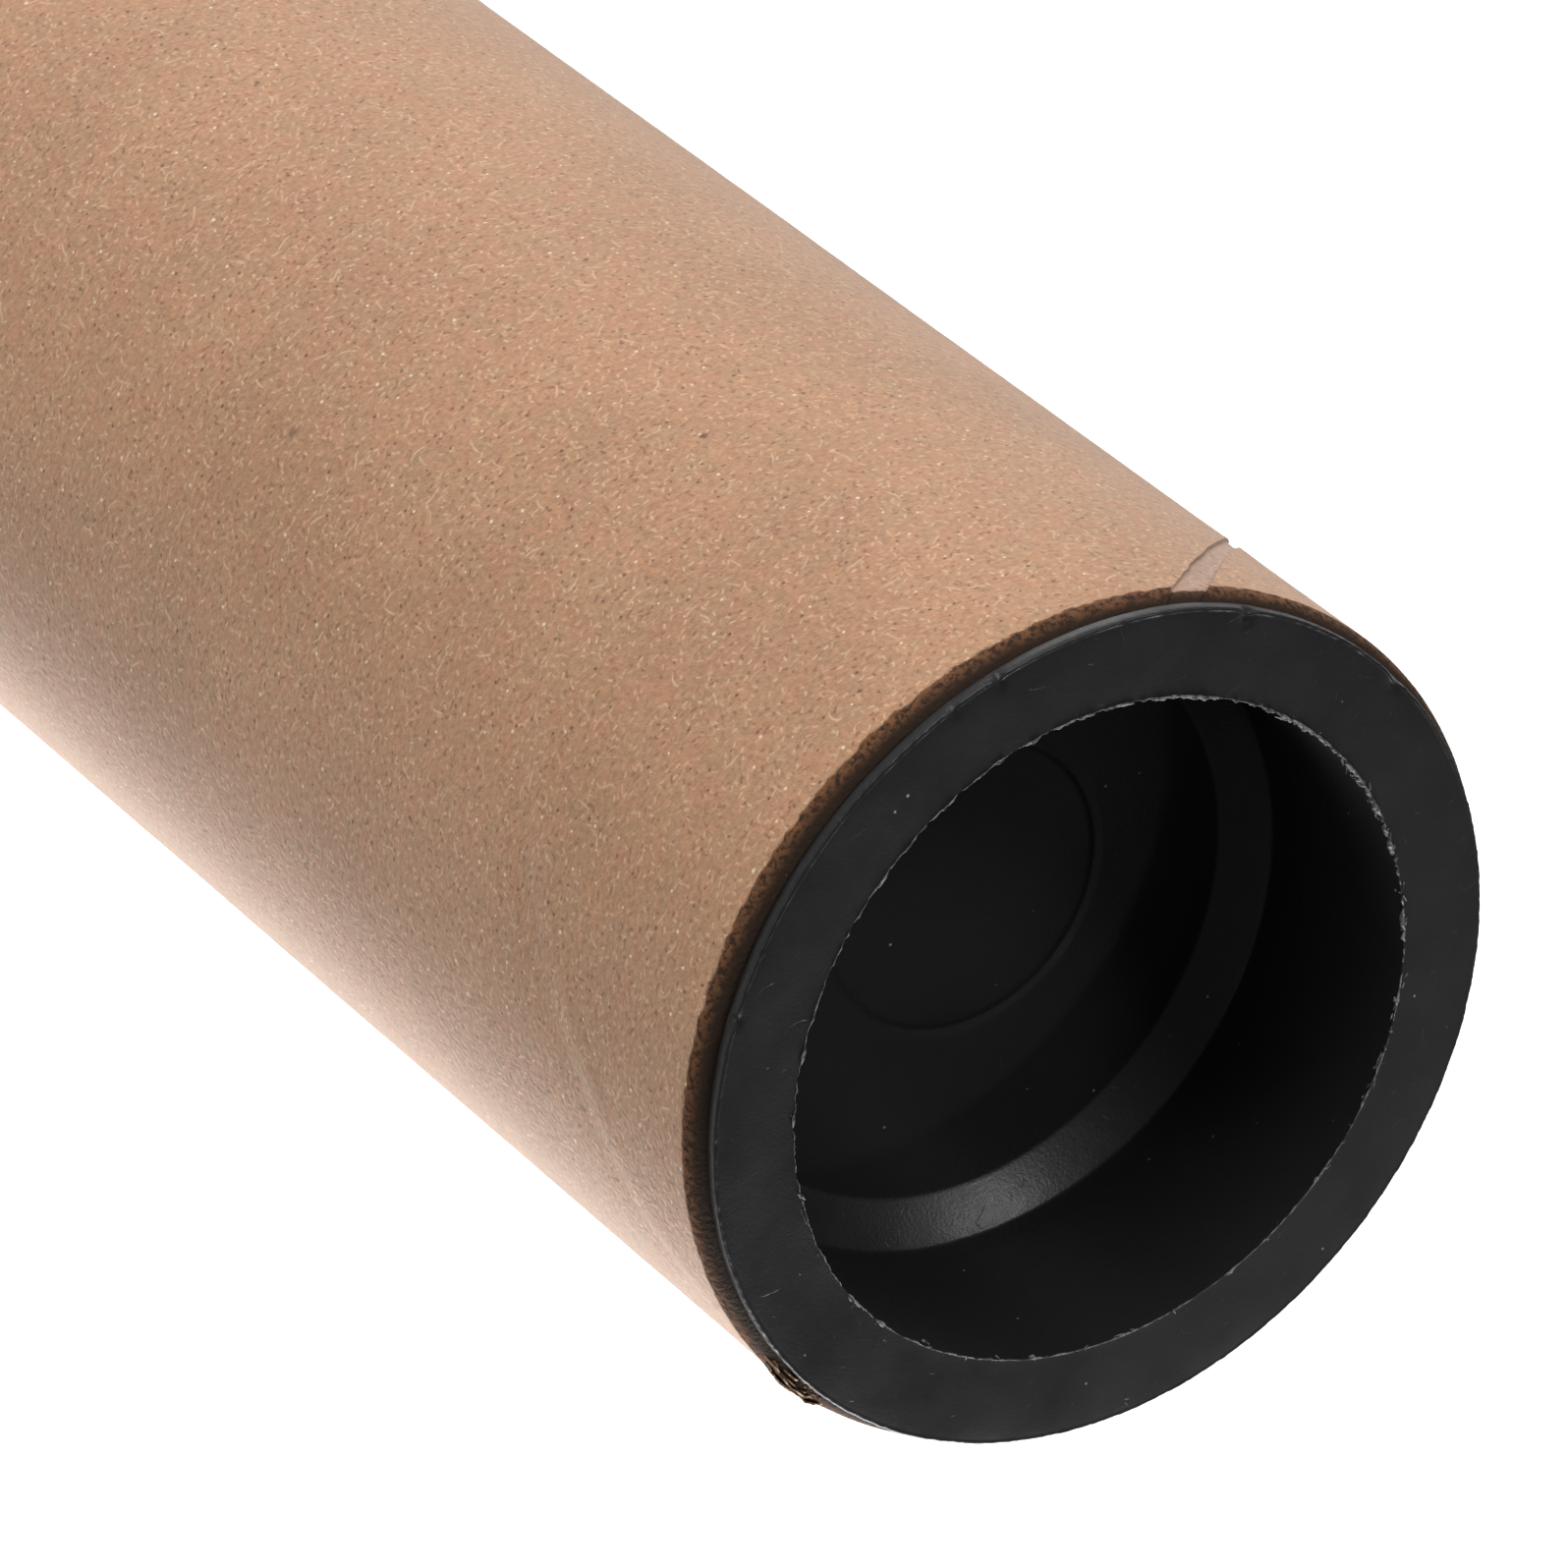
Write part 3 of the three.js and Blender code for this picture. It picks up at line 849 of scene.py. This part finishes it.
plugShape = {
    "mouth": 22.8,  # mm, radius of the cup
    "mouthShifts": [(150.0, 30.0, -0.28), (237.0, 35.0, 0.38)],  # degrees, half width, mm out of round
    "mouthFace": 3.5,  # mm of the face beside the mouth that goes with it
    "mouthDepth": (9, 1),  # mm down the wall, where that starts and where it is full
    "cupDepth": 17.3,
    "cornerWidth": 2.75,  # slope between the cup's floor and its wall
    "cornerHeight": 2.2,
    "skirt": 24.85,  # mm, radius
    "leadIn": 2.6,
    "crownWidth": 2.0,  # mm over which the flange's face rolls down to its edge
    "crownDrop": 0.05,
    "crownSteps": 8,
    "edgeBand": 0.45,  # mm from the crown's end to the flange's edge
    # eased corners of the outline, in mm out and up from the sharp corner
    "floorCorner": [(-0.25, 0), (-0.06, 0.01), (0.04, 0.06), (0.2, 0.17)],
    "wallCorner": [(-0.04, 0.02), (0, 0.2)],
    "mouthCorner": [(0, -0.2), (0.01, -0.05), (0.06, 0), (0.3, -0.01), (1.0, 0), (2.5, 0)],
    "rimCorner": [(-0.38, -0.006), (-0.31, -0.012), (-0.24, -0.010), (-0.17, 0),
                  (-0.11, -0.004), (-0.055, -0.03), (-0.02, -0.07), (0, -0.13)],
    "seatCorner": [(0, 0.5), (-0.02, 0.12), (-0.14, 0)],
    "columns": 900,
    "witness": (-1.7, -1.3, 10.2),  # centre and radius in mm of the mould's ring on the cup's floor
    "witnessGroove": (0.25, 0.10),  # its half width and depth in mm
    "witnessRows": (7.6, 12.9, 0.2),  # mm, radii of the mesh rows that the ring crosses
    "floorWave": (0.04, 9.0),  # mm high, mm across
    "oval": (0.05, 0.15, 35.0),  # mm added to the rim's radius all round and at the long axis; its bearing
    "bulge": (0.20, 215.0, 25.0),  # mm, degrees, half width in degrees
    "warp": (0.035, 9),  # mm on the rim's radius, and waves
    "chatter": (0.035, 45),  # mm on its edge, and waves
    "fineChatter": (0.025, 130),
    "lip": 0.075,  # mm, height of the raised edge left round the face
    "lipSide": 250.0,  # degrees, where it is highest
    "lipLeast": 0.25,  # share of it left opposite
    "lipBreaks": (0.3, 0.9, -0.6, 1.4),  # mean, part of each chatter, least and most
    "nicks": [  # degrees round from +X, width and depth in mm, on the flange's outer edge
        (206.0, 0.7, 0.30), (178.0, 1.2, 0.22), (-62.0, 0.8, 0.20), (-110.0, 0.6, 0.15), (243.0, 0.5, 0.25),
    ],
    "nickSides": 1.6,  # steepness
    "nickDown": 0.7,  # share of its depth that it also goes down
    "sharpFrom": 38,  # degrees
    "weld": 0.001,  # mm
}


def fromCorner(radius, height, offsets):  # points of an outline, given from one of its sharp corners
    return [(radius + out, height + up) for out, up in offsets]


def plugOutline():  # from the cup floor's centre over the flange and down the skirt to the nose's centre
    p = plugShape
    axis = 0.001  # mm, all but on the axis
    top, seat, edge, mouth, skirt = flangeTop, tubeTop, flangeRadius, p["mouth"], p["skirt"]
    floor = top - p["cupDepth"]
    inner = mouth - p["cornerWidth"]
    outline = [(r, floor) for r in (axis, 3, 6, *np.arange(*p["witnessRows"]), 15, 18)]
    outline += fromCorner(inner, floor, p["floorCorner"])
    outline += [(inner + p["cornerWidth"] * t, floor + p["cornerHeight"] * t) for t in (0.3, 0.6, 0.94)]
    outline += fromCorner(mouth, floor + p["cornerHeight"], p["wallCorner"])
    outline += [(mouth, z) for z in np.linspace(floor + 3.5, top - 1.0, 6)]
    outline += fromCorner(mouth, top, p["mouthCorner"])
    flat = edge - p["edgeBand"] - p["crownWidth"]
    outline.append((flat - 0.4, top))
    for t in np.linspace(0, 1, p["crownSteps"]):
        outline.append((flat + p["crownWidth"] * t, top - p["crownDrop"] * t * t))
    outline += fromCorner(edge, top - p["crownDrop"], p["rimCorner"])
    outline += fromCorner(edge, seat, p["seatCorner"])
    outline += [(skirt + 1.5, seat), (skirt, seat), (skirt, seat - 5), (skirt, plugNose + p["leadIn"])]
    outline += [(skirt - p["leadIn"], plugNose), (12, plugNose), (axis, plugNose)]
    return outline


def mouthShift(bearing):  # how far out of round the cup's mouth is, by degrees round from +X
    return sum(size * hump(turnFrom(at, bearing), spread) for at, spread, size in plugShape["mouthShifts"])


def spoilPlug(r, z, theta, seed):  # the true turned shape, made as uneven as a cheap moulding is
    p = plugShape
    mouth = p["mouth"]
    bearing = np.degrees(theta)

    # the rim is a little oval and warped, and so is the mouth
    rim = smooth(mouth + p["mouthFace"], flangeRadius - 0.6, r) * smooth(tubeTop - 0.5, tubeTop, z)
    allRound, oval, axis = p["oval"]
    bulge, at, spread = p["bulge"]
    warp, waves = p["warp"]
    wander = allRound + oval * np.cos(np.radians(2 * (bearing - axis)))
    wander = wander + bulge * hump(turnFrom(at, bearing), spread)
    wander = wander + warp * ringWobble(theta, waves, seed)
    nearMouth = smooth(mouth - 0.6, mouth - 0.1, r) * (1 - smooth(mouth + 0.2, mouth + p["mouthFace"], r))
    start, full = p["mouthDepth"]
    above = np.where(r > mouth + 0.5, smooth(tubeTop, tubeTop + 0.5, z),
                     smooth(flangeTop - start, flangeTop - full, z))
    r = r + nearMouth * above * mouthShift(bearing)

    # flash stands up along the edge, broken off here and there
    rough, roughWaves = p["chatter"]
    fine, fineWaves = p["fineChatter"]
    chatter = ringWobble(theta, roughWaves, seed + 1)
    fineChatter = ringWobble(theta, fineWaves, seed + 4)
    onEdge = (smooth(flangeRadius - 0.32, flangeRadius - 0.12, r)
              * smooth(flangeTop - 0.35, flangeTop - 0.15, z))
    r = r + rim * wander + onEdge * (rough * chatter + fine * fineChatter)
    least = p["lipLeast"]
    raised = p["lip"] * (least + (1 - least) * smooth(-0.5, 0.5, np.cos(np.radians(bearing - p["lipSide"]))))
    mean, part, lowest, highest = p["lipBreaks"]
    z = z + onEdge * raised * np.clip(mean + part * chatter + part * fineChatter, lowest, highest)

    for degrees, width, deep in p["nicks"]:
        along = turnFrom(degrees, bearing) * math.pi / 180 * flangeRadius
        cut = np.exp(-(along / width * p["nickSides"]) ** 2)
        dent = (cut * smooth(flangeRadius - 0.9, flangeRadius - 0.1, r)
                * smooth(tubeTop + 0.3, flangeTop - 0.1, z))
        r = r - dent * deep
        z = z - dent * deep * p["nickDown"]
    return r, z


def makePlug(name, flipped):
    p = plugShape
    outline = np.array(plugOutline())
    seed = 40 if flipped else 20
    theta = np.linspace(0, 2 * math.pi, p["columns"], endpoint=False)[None, :]
    r, z = spoilPlug(outline[:, :1] + 0 * theta, outline[:, 1:] + 0 * theta, theta, seed)
    x, y = r * np.cos(theta), r * np.sin(theta)

    # the cup's floor is slightly wavy and carries the mould's ring
    onFloor = (np.abs(z - (flangeTop - p["cupDepth"])) < 0.001) & (r < p["mouth"] - p["cornerWidth"] - 0.5)
    ringX, ringY, ringRadius = p["witness"]
    ringWidth, ringDepth = p["witnessGroove"]
    high, across = p["floorWave"]
    ring = hump(np.hypot(x - ringX, y - ringY) - ringRadius, ringWidth)
    z = np.where(onFloor, z + high * wobble(x, y, 0, across, seed + 3) - ringDepth * ring, z)
    points = np.stack([x, y, z], axis=2)
    if flipped:
        points = turnOver(points)

    row, column = np.meshgrid(np.arange(len(outline) - 1), np.arange(p["columns"]), indexing="ij")
    here, below = row * p["columns"], (row + 1) * p["columns"]
    nextColumn = (column + 1) % p["columns"]
    faces = np.stack([here + column, here + nextColumn, below + nextColumn, below + column], axis=2)
    piece = makePiece(name, points.reshape(-1, 3), faces.reshape(-1, 4), [plasticMaterial])
    mesh = piece.data
    work = bmesh.new()
    work.from_mesh(mesh)
    bmesh.ops.remove_doubles(work, verts=work.verts, dist=p["weld"] * mm)
    bmesh.ops.recalc_face_normals(work, faces=work.faces)
    work.to_mesh(mesh)
    work.free()
    mesh.set_sharp_from_angle(angle=math.radians(p["sharpFrom"]))
    node = "bottom_plug" if flipped else "top_plug"
    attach(piece, node)
    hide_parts(node)
    return piece


topPlug = makePlug("plug_top", False)
makePlug("plug_bottom", True)
print("plugs made: %d faces each" % len(topPlug.data.polygons))


# The burr round the cup's mouth: a thin ragged bead of flash, with flakes half torn off it

burrShape = {
    "segments": 1800,
    "sides": 6,
    "radius": 0.075,  # mm, of the bead
    "waves": (7, 30, 70, 60),  # slow, middle and sharp ones round the mouth, and those of the bead's skin
    "bead": (0.75, 0.9, 1.0, 0.7),  # mean, and parts of the slow, middle and sharp waves in its thickness
    "beadSpan": (0.10, 2.2),
    "beadSkin": 0.25,
    "ribbon": (178.0, 48.0),  # degrees round from +X, and half width, of the stretch where it is thick
    "ribbonThick": (0.6, 1.2),  # elsewhere, and added there
    "toothed": (150.0, 45.0),  # degrees round from +X, and half width, of the stretch with close teeth
    "inward": (0.07, 0.10, 0.05, 0.14),  # mm, for slow, middle and sharp waves, and more sharp ones there
    "lift": (0.03, 0.06, 0.03, 0.08),  # mm, mean, and for the middle and sharp waves as above
    "seat": 0.02,  # mm into the corner
    "flakes": 110,
    "inTeeth": (0.4, 0.6),  # share of them on the toothed stretch, and their spread in its half widths
    "flakeLength": (0.25, 1.7),
    "flakeShort": (0.4, 1),  # share of that which is left
    "flakeWidth": (0.10, 0.36),
    "flakeYaw": 0.35,  # radians, spread
    "flakeTip": (-0.25, 0.6),
    "flakeOut": (0.02, 0.10),  # mm from the mouth, mean and spread
    "flakeUp": (-0.12, 0.10),
    "flakeEdge": (0.6, 1.2),  # share by which its width varies
    "flakeTaper": 0.8,
    "flakeBow": 0.05,  # mm
    "flakeThick": (0.06, 0.02),  # mm down and out, of the ridge underneath
    "flakeSteps": 4,
    "seed": 5,
}


def burrBead(seed):
    b = burrShape
    theta = np.linspace(0, 2 * math.pi, b["segments"], endpoint=False)
    bearing = np.degrees(theta)
    slow, middle, sharp = [ringWobble(theta, waves, seed + k) for k, waves in enumerate(b["waves"][:3])]
    toothAt, toothReach = b["toothed"]
    toothy = hump(turnFrom(toothAt, bearing), toothReach)
    mean, slowPart, middlePart, sharpPart = b["bead"]
    bead = mean + slowPart * slow + middlePart * middle + sharpPart * sharp
    thick = b["radius"] * np.clip(bead, *b["beadSpan"])
    ribbonAt, ribbonReach = b["ribbon"]
    thin, thicker = b["ribbonThick"]
    thick = thick * (thin + thicker * hump(turnFrom(ribbonAt, bearing), ribbonReach))
    slowIn, middleIn, sharpIn, toothIn = b["inward"]
    inward = middleIn * middle + slowIn * slow + (sharpIn + toothIn * toothy) * sharp
    meanUp, middleUp, sharpUp, toothUp = b["lift"]
    lift = meanUp + middleUp * middle + (sharpUp + toothUp * toothy) * sharp
    mouth = plugShape["mouth"] + mouthShift(bearing)
    rings = []
    for k in range(b["sides"]):
        a = 2 * math.pi * k / b["sides"]
        rough = 1 + b["beadSkin"] * ringWobble(theta, b["waves"][3], seed + 3, k * 3.0)
        r = mouth + b["seat"] - inward + thick * math.cos(a) * rough
        z = flangeTop - b["seat"] + lift + thick * math.sin(a) * rough
        rings.append(np.stack([r * np.cos(theta), r * np.sin(theta), z], axis=1))
    n, sides = b["segments"], b["sides"]
    faces = [(a * n + k, ((a + 1) % sides) * n + k, ((a + 1) % sides) * n + (k + 1) % n, a * n + (k + 1) % n)
             for a in range(sides) for k in range(n)]
    return np.concatenate(rings).tolist(), faces


def addFlake(points, faces, dice):
    b = burrShape
    toothAt, toothReach = b["toothed"]
    inTeeth, teethSpread = b["inTeeth"]
    turn = dice.uniform(0, 2 * math.pi)
    if dice.random() < inTeeth:
        turn = math.radians(toothAt + dice.gauss(0, toothReach * teethSpread))
    length = dice.uniform(*b["flakeLength"]) * dice.uniform(*b["flakeShort"])
    width = dice.uniform(*b["flakeWidth"])
    yaw = dice.gauss(0, b["flakeYaw"])
    tip = dice.uniform(*b["flakeTip"])
    out = Vector((math.cos(turn), math.sin(turn), 0))
    centre = out * (plugShape["mouth"] + mouthShift(math.degrees(turn)) + dice.gauss(*b["flakeOut"]))
    centre.z = flangeTop + dice.uniform(*b["flakeUp"])
    along = Vector((-math.sin(turn), math.cos(turn), 0)) * math.cos(yaw) + out * math.sin(yaw)
    across = (out * math.cos(tip) + Vector((0, 0, 1)) * math.sin(tip)).normalized()
    down, outward = b["flakeThick"]
    first = len(points)
    for step in range(b["flakeSteps"] + 1):
        t = step / b["flakeSteps"] * 2 - 1
        half = width / 2 * (1 - t * t * b["flakeTaper"]) * dice.uniform(*b["flakeEdge"])
        spot = centre + along * length / 2 * t + Vector((0, 0, b["flakeBow"] * dice.uniform(-1, 1)))
        for side in (-1, 1):
            points.append(tuple(spot + across * half * side))
        points.append(tuple(spot - Vector((0, 0, down)) + out * outward))
    for step in range(b["flakeSteps"]):
        a = first + step * 3
        faces += [(a, a + 1, a + 4, a + 3), (a + 1, a + 2, a + 5, a + 4), (a + 2, a, a + 3, a + 5)]


def makeBurr(name, flipped):
    points, faces = burrBead(70 if flipped else 50)
    dice = random.Random(burrShape["seed"] + (100 if flipped else 0))
    for _ in range(burrShape["flakes"]):
        addFlake(points, faces, dice)
    points = np.array(points)
    if flipped:
        points = turnOver(points)
    piece = makePiece(name, points, faces, [flashMaterial])
    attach(piece, "bottom_plug" if flipped else "top_plug")


makeBurr("burr_top", False)
makeBurr("burr_bottom", True)
print("burrs made")


# Floor and light

studio = {
    "floor": ("#e9e8e6", "#f4f4f3"),  # two whites of painted paper, in wide soft patches
    "floorPatches": 1.5,  # a metre
    "floorRoughness": 0.9,
    "floorReach": 20000,  # mm either way
    "horizon": 0.62,  # radiance of the white sweep low down, and of the room overhead
    "overhead": 0.15,
    "horizonEnds": (0.10, 0.62),  # sines of the elevations between which the one turns into the other
    "aimBelow": 40,  # mm below the upper plug's face, where the lights point
    "lowestLight": 60,  # mm above the floor
    # name; mm right, up and back from that point, in the picture's directions; size in mm; watts
    "lights": [
        ("key", -120, 900, 620, 700, 6.0),
        ("lowBounce", 150, -800, -380, 700, 17.5),
        ("side", 600, 340, 590, 220, 2.9),
        ("topStrip", -25, 425, -225, 200, 0.34),
        ("leftFill", -520, -150, 520, 260, 0.6),
    ],
    # a spot that whitens the floor behind the tube; mm, degrees, watts
    "backLight": {"place": (0, 700, 1500), "target": (0, 430, 0), "cone": 42, "watts": 42.0, "blend": 0.6,
                  "radius": 100},
}


def addLight(data, place, target):  # points it, and keeps the lamp itself out of the picture
    light = bpy.data.objects.new(data.name, data)
    light.location = place * mm
    light.rotation_mode = "QUATERNION"
    light.rotation_quaternion = (target - place).to_track_quat("-Z", "Y")
    light.visible_camera = False
    bpy.context.scene.collection.objects.link(light)


def makeFloor():  # a matt painted paper sweep
    material, tree, shader = newMaterial("palePaperSweep")
    place = addNode(tree, "TexCoord").outputs["Object"]
    tint = addNode(tree, "TexNoise", {}, {
        "Vector": place, "Scale": studio["floorPatches"], "Detail": 1.0})
    one, other = studio["floor"]
    colour = addNode(tree, "Mix", mixColours, {0: tint, 6: linear(one), 7: linear(other)}).outputs[2]
    fillInputs(tree, shader, {"Base Color": colour, "Roughness": studio["floorRoughness"]})
    reach = studio["floorReach"]
    corners = [(-reach, -reach, 0), (reach, -reach, 0), (reach, reach, 0), (-reach, reach, 0)]
    floor = makePiece("floor", corners, [(0, 1, 2, 3)], [material])


def makeSky():
    world = bpy.data.worlds.new("studioWorld")
    world.use_nodes = True
    tree = world.node_tree
    direction = addNode(tree, "TexCoord").outputs["Generated"]
    rise = addNode(tree, "SeparateXYZ", {}, {0: direction}).outputs[2]
    radiance = addNode(tree, "MapRange", eased, {
        "Value": rise, **limits("From", studio["horizonEnds"]),
        **limits("To", (studio["horizon"], studio["overhead"]))})
    fillInputs(tree, tree.nodes["Background"], {"Strength": radiance, "Color": (1, 1, 1, 1)})
    bpy.context.scene.world = world


def makeLights():
    target = Vector((0, 0, flangeTop - studio["aimBelow"]))
    for name, right, up, back, size, watts in studio["lights"]:
        data = bpy.data.lights.new(name, "AREA")
        data.shape = "DISK"
        data.size = size * mm
        data.energy = watts
        place = target + pictureRight * right + pictureUp * up + pictureBack * back
        place.z = max(place.z, studio["lowestLight"])
        addLight(data, place, target)
    spot = studio["backLight"]
    data = bpy.data.lights.new("backLight", "SPOT")
    data.energy = spot["watts"]
    data.spot_size, data.spot_blend = math.radians(spot["cone"]), spot["blend"]
    data.shadow_soft_size = spot["radius"] * mm
    addLight(data, Vector(spot["place"]), Vector(spot["target"]))


makeFloor()
makeSky()
makeLights()
bpy.context.scene.view_settings.view_transform = "Standard"
print("studio lit")
